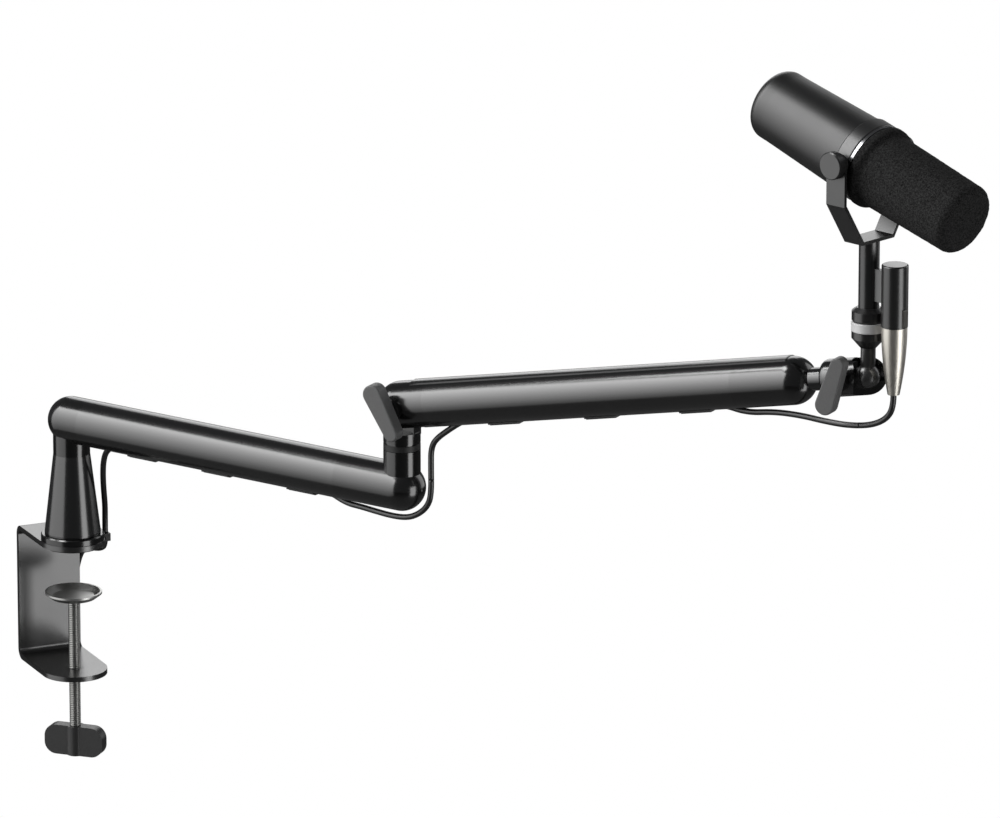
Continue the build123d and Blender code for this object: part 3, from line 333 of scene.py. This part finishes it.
finishes = {
    TUBE_COAT: ("lower_tube", "upper_tube", "riser_cone"),
    CAST_COAT: (
        "shoulder_casting",
        "elbow_casting",
        "elbow_tongue",
        "fork_casting",
        "nose_casting",
        "top_cover",
        "head_neck",
        "head_housing",
        "base_ring",
    ),
    CLAMP_COAT: ("clamp_bracket",),
    MIC_COAT: ("mic_body", "rear_cap"),
    COLLAR_COAT: ("collar",),
    MOUNT_COAT: ("mount_post", "lock_nut", "adapter_cone", "xlr_housing", "thread_bush"),
    YOKE_COAT: ("yoke", "yoke_knob_left", "yoke_knob_right"),
    KNOB_PLASTIC: ("tension_knob", "head_knob"),
    CLIP_PLASTIC: (
        "lower_clips",
        "upper_clips",
        "cable_clip",
        "swivel_ring",
        "riser_bushes",
        "ball_seat",
        "xlr_insert",
    ),
    HANDLE_PLASTIC: ("screw_handle",),
    RUBBER: ("jaw_pad", "friction_washers"),
    STEEL: ("pivot_pin", "hinge_bolt"),
    BALL_COAT: ("ball_stud",),
    DISH_STEEL: ("pressure_pad",),
    PLUG_NICKEL: ("plug_shell", "end_plug"),
    RING_SILVER: ("lock_ring",),
    PLATE_COAT: ("connector_plate",),
    LATCH_GREY: ("latch_tab",),
    CHROME: ("trim_ring",),
    CAGE_METAL: ("inner_cage",),
    CAPSULE_METAL: ("capsule",),
    BOARD: ("circuit_board",),
}
for material, names in finishes.items():
    for name in names:
        node_slots = nodes[name].data.materials
        if not len(node_slots):
            node_slots.append(material)
        for index in range(len(node_slots)):
            node_slots[index] = material


# ---- Surfaces ------------------------------------------------------------------------------------
def surface(name, grid, material, body=None, closed_rows=False, smooth=True):
    """Mesh from a grid of points, rows by columns; the columns close into a ring.

    Faces join each point to its neighbours along the row and in the next row. With closed_rows the
    last row joins the first; without it the two end rows are closed with one face each.
    """
    rows, columns = grid.shape[:2]
    index = np.arange(rows * columns).reshape(rows, columns)
    if closed_rows:
        index = np.vstack((index, index[:1]))
    beside = np.roll(index, -1, axis=1)
    corners = (index[:-1], beside[:-1], beside[1:], index[1:])
    faces = np.stack(corners, axis=-1).reshape(-1, 4).tolist()
    if not closed_rows:
        faces.append(index[0, ::-1].tolist())
        faces.append(index[-1].tolist())
    mesh = bpy.data.meshes.new(name)
    mesh.from_pydata(grid.reshape(-1, 3), [], faces)
    mesh.materials.append(material)
    mesh.polygons.foreach_set("use_smooth", np.full(len(mesh.polygons), smooth))
    mesh.update()
    piece = bpy.data.objects.new(name, mesh)
    scene.collection.objects.link(piece)
    if body:
        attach(piece, body)
    return piece


def ring_angles(count):
    return np.linspace(0, 2 * np.pi, count, endpoint=False)


def turned(where, profile, count=96):
    """Grid of a profile turned about a frame's x: (along, radius) at each angle around."""
    profile = np.asarray(profile, float)
    angle = ring_angles(count)[None, :]
    along, radius = profile[:, :1], profile[:, 1:]
    return where.at(along + 0 * angle, radius * np.cos(angle), radius * np.sin(angle))


SIDE_HINT = (0.31, 0.57, 0.76)  # along no lead's first run


def tube_along(path, radius, count=24):
    """Grid of circles square to a path, each turned as little as possible from the one before.

    The side vector of the first circle is carried along: at each point its part along the path's
    tangent is taken out.
    """
    path = np.asarray(path, float)
    tangent = np.gradient(path, axis=0)
    tangent /= np.linalg.norm(tangent, axis=1)[:, None]
    side = np.cross(tangent[0], SIDE_HINT)
    sides = []
    for direction in tangent:
        side = side - direction * np.dot(side, direction)
        side = side / np.linalg.norm(side)
        sides.append(side)
    sides = np.array(sides)
    across = np.cross(tangent, sides)
    angle = ring_angles(count)[None, :, None]
    radius = np.broadcast_to(np.asarray(radius, float), len(path))[:, None, None]
    outward = np.cos(angle) * sides[:, None] + np.sin(angle) * across[:, None]
    return path[:, None] + radius * outward


# ---- Lead ----------------------------------------------------------------------------------------
LEAD_RADIUS = 2.25
GROOVE_DROP = 14.4  # the lead under a tube's axis
LOWER_SEAM, UPPER_SEAM = 232.0, 258.0  # where the lengths in the grooves meet


def in_groove(where, distance, drop=GROOVE_DROP):
    """Point in millimetres under a tube's axis, where the lead lies unless a drop is given."""
    return tuple(where.at(distance, 0, -drop) / MM)


def smooth_line(points, name):
    """Points in metres along the NURBS line whose control points are a route in millimetres."""
    curve = bpy.data.curves.new(name + "_route", "CURVE")
    curve.dimensions = "3D"
    curve.resolution_u = 16
    spline = curve.splines.new("NURBS")
    spline.points.add(len(points) - 1)
    weighted = np.column_stack((np.array(points) * MM, np.ones(len(points))))
    spline.points.foreach_set("co", weighted.ravel())
    spline.order_u = 3
    spline.use_endpoint_u = True
    holder = bpy.data.objects.new(name + "_route", curve)
    scene.collection.objects.link(holder)
    bpy.context.view_layer.update()
    evaluated = holder.evaluated_get(bpy.context.evaluated_depsgraph_get())
    line = bpy.data.meshes.new_from_object(evaluated)
    found = np.zeros(len(line.vertices) * 3)
    line.vertices.foreach_get("co", found)
    bpy.data.objects.remove(holder)
    return found.reshape(-1, 3)


def lead(name, route, replaced, body=None, blended=None):
    """A length of the lead: a round tube along its smooth line, in place of CAD nodes."""
    line = smooth_line(route, name)
    piece = surface(name, tube_along(line, LEAD_RADIUS * MM), JACKET, body)
    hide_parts(*replaced)
    if blended:
        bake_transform(piece)
    return piece


CLIP_POINT = (27.9, 3.0)
CLAMP_BACK = 55.0  # outer face of the clamp's back plate
PLUG_BOTTOM = -9.0
base_route = [
    (*CLIP_POINT, 6.0),
    (*CLIP_POINT, 17.0),
    (26.9, 0.0, 29.0),
    (23.5, -6.0, 44.5),
    (20.8, -12.0, 58.5),
    (18.6, -19.0, 70.0),
    (17.8, -26.5, 80.0),
    in_groove(LOWER, 41.0),
    in_groove(LOWER, 55.0),
    in_groove(LOWER, 110.0),
    in_groove(LOWER, 175.0),
    in_groove(LOWER, LOWER_SEAM),
]
middle_route = [
    in_groove(LOWER, LOWER_SEAM),
    in_groove(LOWER, 244.0),
    in_groove(LOWER, 261.7, 21.4),
    (139.8, -237.4, 78.7),
    (146.7, -249.0, 77.5),
    (154.9, -263.0, 76.5),
    (161.8, -274.8, 77.6),
    (166.8, -283.3, 82.0),
    (170.9, -290.1, 89.0),
    (172.8, -293.6, 98.5),
    (174.0, -290.5, 122.0),
    (174.4, -289.9, 133.5),
    (176.6, -292.8, 141.5),
    in_groove(UPPER, 38.5, 20.2),
    in_groove(UPPER, 52.0),
    in_groove(UPPER, 64.0),
    in_groove(UPPER, 120.0),
    in_groove(UPPER, 190.0),
    in_groove(UPPER, UPPER_SEAM),
]
mic_route = [
    in_groove(UPPER, UPPER_SEAM),
    in_groove(UPPER, 270.0),
    in_groove(UPPER, 289.0, 21.8),
    in_groove(UPPER, 312.0, 22.4),
    (361.1, -536.3, 202.4),
    (372.0, -551.8, 200.9),
    (383.5, -568.2, 200.6),
    (394.2, -583.4, 203.6),
    (401.2, -593.3, 210.0),
    tuple(SOCKET.at(0, 0, PLUG_BOTTOM - 10) / MM),
    tuple(SOCKET.at(0, 0, PLUG_BOTTOM) / MM),
]
tail_route = [
    (*CLIP_POINT, 5.7),
    (*CLIP_POINT, -4.0),
    (27.9, 12.5, -9.5),
    (27.9, 31.0, -14.0),
    (28.4, CLAMP_BACK - 3.0, -21.0),
    (27.9, CLAMP_BACK + 5.0, -31.0),
    (25.5, CLAMP_BACK + 6.0, -43.5),
    (21.0, CLAMP_BACK + 4.5, -55.0),
]


def halves(route, run):
    """Split a route into two that meet in the middle of one of its runs."""
    middle = tuple((np.array(route[run]) + np.array(route[run + 1])) / 2)
    return route[: run + 1] + [middle], [middle] + route[run + 1 :]


ELBOW_SPLIT, BALL_SPLIT = 9, 6  # runs whose middles part the loops
middle_low, middle_high = halves(middle_route, ELBOW_SPLIT)
mic_low, mic_high = halves(mic_route, BALL_SPLIT)

lead(
    "lead_base",
    base_route,
    ("cord_base_loop", "cord_lower_run"),
    blended=("clamp", "lower_arm", (0.0279, 0.003, 0.012), (0.0186, -0.019, 0.074)),
)
lead(
    "lead_elbow_low",
    middle_low,
    ("cord_mid_low",),
    blended=("lower_arm", "elbow", (0.1398, -0.2374, 0.079), (0.1719, -0.2918, 0.094)),
)
lead(
    "lead_elbow_high",
    middle_high,
    ("cord_mid_high", "cord_upper_run"),
    blended=("elbow", "upper_arm", (0.1741, -0.2902, 0.124), (0.1880, -0.3080, 0.158)),
)
lead(
    "lead_ball_low",
    mic_low,
    ("cord_mic_low",),
    blended=("upper_arm", "ball_stud", (0.345, -0.513, 0.203), (0.387, -0.574, 0.2005)),
)
lead(
    "lead_ball_high",
    mic_high,
    ("cord_mic_high",),
    blended=("ball_stud", "mic_mount", (0.3905, -0.578, 0.2005), (0.4035, -0.597, 0.216)),
)

HANK_CENTRE = (3.0, CLAMP_BACK + 9.0, -63.25)
HANK_REACH = 15.0  # centre to the middle of an end's half-circle
HANK_OUTER, HANK_INNER, HANK_LAYER = 18.0, 13.5, 4.5  # winding radii and depth of a layer
HANK_ANGLES = (0, -22.5, -67.5, -112.5, -157.5, -180, 180, 157.5, 112.5, 67.5, 22.5, 0)
FLANK_PULL = 0.55  # share of the reach at which the straight sides have their points


def hank_route():
    """Control points of the wound lead, in millimetres: six turns round two half-circle ends.

    Each turn is a polygon about a racetrack. Its radius and depth step to the next turn's while it
    passes over the top.
    """
    radii = (HANK_OUTER, *[HANK_INNER] * 2, *[HANK_OUTER] * 2, *[HANK_INNER] * 2)
    depths = (*[-HANK_LAYER] * 2, *[0.0] * 2, *[HANK_LAYER] * 3)
    route = []
    x0, y0, z0 = HANK_CENTRE
    for turn in range(6):
        for step, angle in enumerate(HANK_ANGLES):
            share = max(0.0, min(1.0, (step - 6.5) / 4))
            radius = radii[turn] + (radii[turn + 1] - radii[turn]) * share
            depth = depths[turn] + (depths[turn + 1] - depths[turn]) * share
            end = -HANK_REACH if step < 6 else HANK_REACH
            on_flank = angle in (0, 180, -180)
            corner = 1 if on_flank else 1 / math.cos(math.radians(22.5))
            pull = FLANK_PULL if on_flank else 1.0
            route.append(
                (
                    x0 + radius * corner * math.cos(math.radians(angle)),
                    y0 + depth,
                    z0 + end * pull + radius * corner * math.sin(math.radians(angle)),
                )
            )
    return route[:-5]


hank_line = [tail_route[-1]] + hank_route()[1:]
end_route = [
    (-10.6, CLAMP_BACK + 13.5, -50.0),
    (-9.6, CLAMP_BACK + 14.5, -39.5),
    (-6.5, CLAMP_BACK + 18.0, -30.0),
    (-1.0, CLAMP_BACK + 24.5, -26.0),
    (3.0, CLAMP_BACK + 30.0, -30.5),
    (3.0, CLAMP_BACK + 30.0, -38.0),
]
stored_route = tail_route[:-1] + hank_line[1:] + end_route
lead(
    "lead_stored",
    stored_route,
    ("cord_tail", "cord_hank"),
    body="clamp",
)

# ---- Windscreen ----------------------------------------------------------------------------------
FOAM_BACK, FOAM_FRONT, FOAM_BORE = 6.8, 97.9, 22.0
RIM_RADIUS, RIM_FRONT, RIM_FOOT = 31.4, 11.8, 17.2
FOAM_RADIUS, FOAM_FRONT_RADIUS, FOAM_ROUND = 28.2, 26.8, 6.0
FOAM_MIDDLE = 60.0
SKIN = 0.1  # how far the foam's surface lies inside the solid
RIPPLE, RIPPLE_WAVES, RIPPLE_SCALE = 0.06, 24, 2.5
LONG_WAVE, SHORT_WAVE = 700, 2600  # radians per metre


def foam_profile():
    """Outline of the foam: over the rolled rim, along the tapering side and across the face.

    The rim falls to the side by half a cosine wave, the side tapers evenly, and a quarter circle
    joins it to the face.
    """
    rim = [
        (FOAM_BACK + 0.3, FOAM_BORE + 0.5),
        (FOAM_BACK + 0.1, RIM_RADIUS - 2.4),
        (FOAM_BACK + 0.7, RIM_RADIUS - 0.8),
    ]
    roll = [(x, RIM_RADIUS - SKIN) for x in np.linspace(FOAM_BACK + 1.6, RIM_FRONT - 0.6, 6)]
    share = np.linspace(0, 1, 9)[1:]
    fall = (1 - np.cos(np.pi * share)) / 2
    foot = np.column_stack(
        (
            RIM_FRONT + share * (RIM_FOOT - RIM_FRONT),
            RIM_RADIUS - SKIN - fall * (RIM_RADIUS - FOAM_RADIUS),
        )
    )
    along = np.linspace(RIM_FOOT, FOAM_FRONT - FOAM_ROUND, 60)[1:]
    taper = (along - RIM_FOOT) / (FOAM_FRONT - FOAM_ROUND - RIM_FOOT)
    narrowing = taper * (FOAM_RADIUS - FOAM_FRONT_RADIUS)
    side = np.column_stack((along, FOAM_RADIUS - SKIN - narrowing))
    turn = np.radians(np.linspace(85, 5, 10))[:, None]
    edge = np.hstack(
        (
            FOAM_FRONT - FOAM_ROUND + (FOAM_ROUND - SKIN) * np.cos(turn),
            FOAM_FRONT_RADIUS - FOAM_ROUND + (FOAM_ROUND - SKIN) * np.sin(turn),
        )
    )
    rings = np.linspace(FOAM_FRONT_RADIUS - FOAM_ROUND - 1, 0.4, 18)
    face = [(FOAM_FRONT - SKIN, radius) for radius in rings]
    return np.vstack((rim, roll, foot, side, edge, face))


def foam_grid():
    """Turned outline whose radius ripples by a sum of short waves, as cut foam does."""
    grid = turned(MIC, foam_profile(), 180)
    seed = np.random.default_rng(7)
    centre = MIC.at(FOAM_MIDDLE)
    outward = grid - centre
    outward /= np.linalg.norm(outward, axis=2)[..., None]
    ripple = np.zeros(grid.shape[:2])
    for wave in range(RIPPLE_WAVES):
        direction = seed.normal(size=3)
        direction *= seed.uniform(LONG_WAVE, SHORT_WAVE) / np.linalg.norm(direction)
        ripple += np.sin(grid @ direction + seed.uniform(0, 6.28))
    return grid - outward * (RIPPLE * MM) * (RIPPLE_SCALE + ripple[..., None]) / RIPPLE_SCALE


windscreen = surface("foam_windscreen", foam_grid(), FOAM, "microphone")
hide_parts("windscreen")

# ---- Clamp screw ---------------------------------------------------------------------------------
SCREW_RADIUS, SCREW_PITCH, THREAD_DEPTH = 4.4, 1.5, 0.25
GROOVE_POWER = 1.3  # above 1, crests broader than grooves
END_GAP = 0.1  # rod's ends inside the solid's


def thread_grid(bottom, top, columns=40, rows_per_turn=8):
    """Screw surface whose radius falls by the thread's depth with a wave of height and angle.

    The triangle wave's phase is height over pitch minus the angle over a full turn, so that a
    crest climbs one pitch for each turn. It fades out over the last pitch at both ends.
    """
    heights = np.arange(bottom, top, SCREW_PITCH / rows_per_turn)
    angle = ring_angles(columns)[None, :]
    phase = (heights[:, None] / SCREW_PITCH - angle / (2 * np.pi)) % 1.0
    fade = np.clip(np.minimum(heights - bottom, top - heights) / SCREW_PITCH, 0, 1)[:, None]
    radius = SCREW_RADIUS - THREAD_DEPTH * fade * (1 - np.abs(2 * phase - 1)) ** GROOVE_POWER
    return CLAMP.at(radius * np.cos(angle), radius * np.sin(angle), heights[:, None] + 0 * angle)


rod_low, rod_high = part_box("screw_rod")
rod = surface(
    "threaded_rod",
    thread_grid(rod_low.z / MM + END_GAP, rod_high.z / MM - END_GAP),
    STEEL,
    "clamp_screw",
)
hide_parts("screw_rod")

# ---- Lights, floor and surroundings --------------------------------------------------------------
FLOOR_HEIGHT, FLOOR_REACH = -1.30, 6.0
FLOOR_MIDDLE = (0.2, -0.3)


def shown_white(tree, mirrored=0.03):
    """Add a white that camera and transmitted rays see, and glossy rays see in part."""
    rays = tree.nodes.new("ShaderNodeLightPath")
    soft = tree.nodes.new("ShaderNodeMath")
    soft.operation = "MULTIPLY"
    soft.inputs[1].default_value = mirrored
    tree.links.new(rays.outputs["Is Glossy Ray"], soft.inputs[0])
    total = soft.outputs[0]
    for ray in ("Is Camera Ray", "Is Transmission Ray"):
        joined = tree.nodes.new("ShaderNodeMath")
        joined.operation = "MAXIMUM"
        tree.links.new(total, joined.inputs[0])
        tree.links.new(rays.outputs[ray], joined.inputs[1])
        total = joined.outputs[0]
    return total


world = bpy.data.worlds.new("surroundings")
scene.world = world
world.use_nodes = True
tree = world.node_tree
backdrop = tree.nodes["Background"]
backdrop.inputs["Color"].default_value = (1, 1, 1, 1)
dim = tree.nodes.new("ShaderNodeBackground")
dim.inputs["Color"].default_value = (0.93, 0.96, 1, 1)
dim.inputs["Strength"].default_value = 0.07
mix = tree.nodes.new("ShaderNodeMixShader")
tree.links.new(shown_white(tree), mix.inputs["Fac"])
tree.links.new(dim.outputs[0], mix.inputs[1])
tree.links.new(backdrop.outputs[0], mix.inputs[2])
tree.links.new(mix.outputs[0], tree.nodes["World Output"].inputs["Surface"])

floor_material = bpy.data.materials.new("pale_floor")
floor_material.use_nodes = True
tree = floor_material.node_tree
paint = tree.nodes["Principled BSDF"]
paint.inputs["Base Color"].default_value = (0.16, 0.16, 0.16, 1)
paint.inputs["Roughness"].default_value = 0.9
glow = tree.nodes.new("ShaderNodeEmission")
mix = tree.nodes.new("ShaderNodeMixShader")
rays = tree.nodes.new("ShaderNodeLightPath")
tree.links.new(rays.outputs["Is Camera Ray"], mix.inputs["Fac"])
tree.links.new(paint.outputs[0], mix.inputs[1])
tree.links.new(glow.outputs[0], mix.inputs[2])
tree.links.new(mix.outputs[0], tree.nodes["Material Output"].inputs["Surface"])
corners = [
    (FLOOR_MIDDLE[0] + FLOOR_REACH * x, FLOOR_MIDDLE[1] + FLOOR_REACH * y, FLOOR_HEIGHT)
    for x, y in ((-1, -1), (1, -1), (1, 1), (-1, 1))
]
floor_mesh = bpy.data.meshes.new("floor")
floor_mesh.from_pydata(corners, [], [(0, 1, 2, 3)])
floor_mesh.materials.append(floor_material)
floor = bpy.data.objects.new("floor", floor_mesh)
scene.collection.objects.link(floor)


LAMP_POWER = 1.5
LAMP_AIM = (0.25, -0.35)


def softbox(name, heading, distance, low, high, width, radiance, foot=1.0):
    """Upright soft light between two heights, facing the object from a heading.

    Its brightness is foot + (1 - foot) h^LAMP_POWER, with h the height up the lamp as a share.
    """
    data = bpy.data.lights.new(name, "AREA")
    data.shape = "RECTANGLE"
    data.size, data.size_y = width, high - low
    data.energy = radiance * math.pi * width * (high - low)
    data.use_nodes = True
    lamp = data.node_tree
    place = lamp.nodes.new("ShaderNodeNewGeometry")
    split = lamp.nodes.new("ShaderNodeSeparateXYZ")
    lamp.links.new(place.outputs["Parametric"], split.inputs[0])
    fall = lamp.nodes.new("ShaderNodeMapRange")
    fall.inputs["To Min"].default_value, fall.inputs["To Max"].default_value = foot, 1.0
    curve = lamp.nodes.new("ShaderNodeMath")
    curve.operation = "POWER"
    curve.inputs[1].default_value = LAMP_POWER
    lamp.links.new(split.outputs["Y"], curve.inputs[0])
    lamp.links.new(curve.outputs[0], fall.inputs["Value"])
    lamp.links.new(fall.outputs["Result"], lamp.nodes["Emission"].inputs["Strength"])
    box = bpy.data.objects.new(name, data)
    back = pointing(heading)
    right = np.cross((0, 0, 1), back)
    where = np.array((*LAMP_AIM, (low + high) / 2)) + distance * back
    box.matrix_world = Matrix(looking(np.column_stack((right, (0, 0, 1), back)), where))
    box.visible_camera = False
    scene.collection.objects.link(box)


# Heading, distance, foot and top heights, width, radiance, and its share at the foot.
softbox("left_box", 168, 2.3, -1.25, 2.55, 3.0, 6.8, 0.09)
softbox("right_box", 299, 2.3, -1.25, 0.5, 1.2, 3.2)
softbox("high_box", 165, 1.6, 2.1, 3.5, 1.2, 9.5)
softbox("back_box", 66, 3.2, 0.4, 2.6, 1.6, 2.0)
softbox("far_box", 8, 3.0, -0.4, 2.6, 1.8, 1.3)
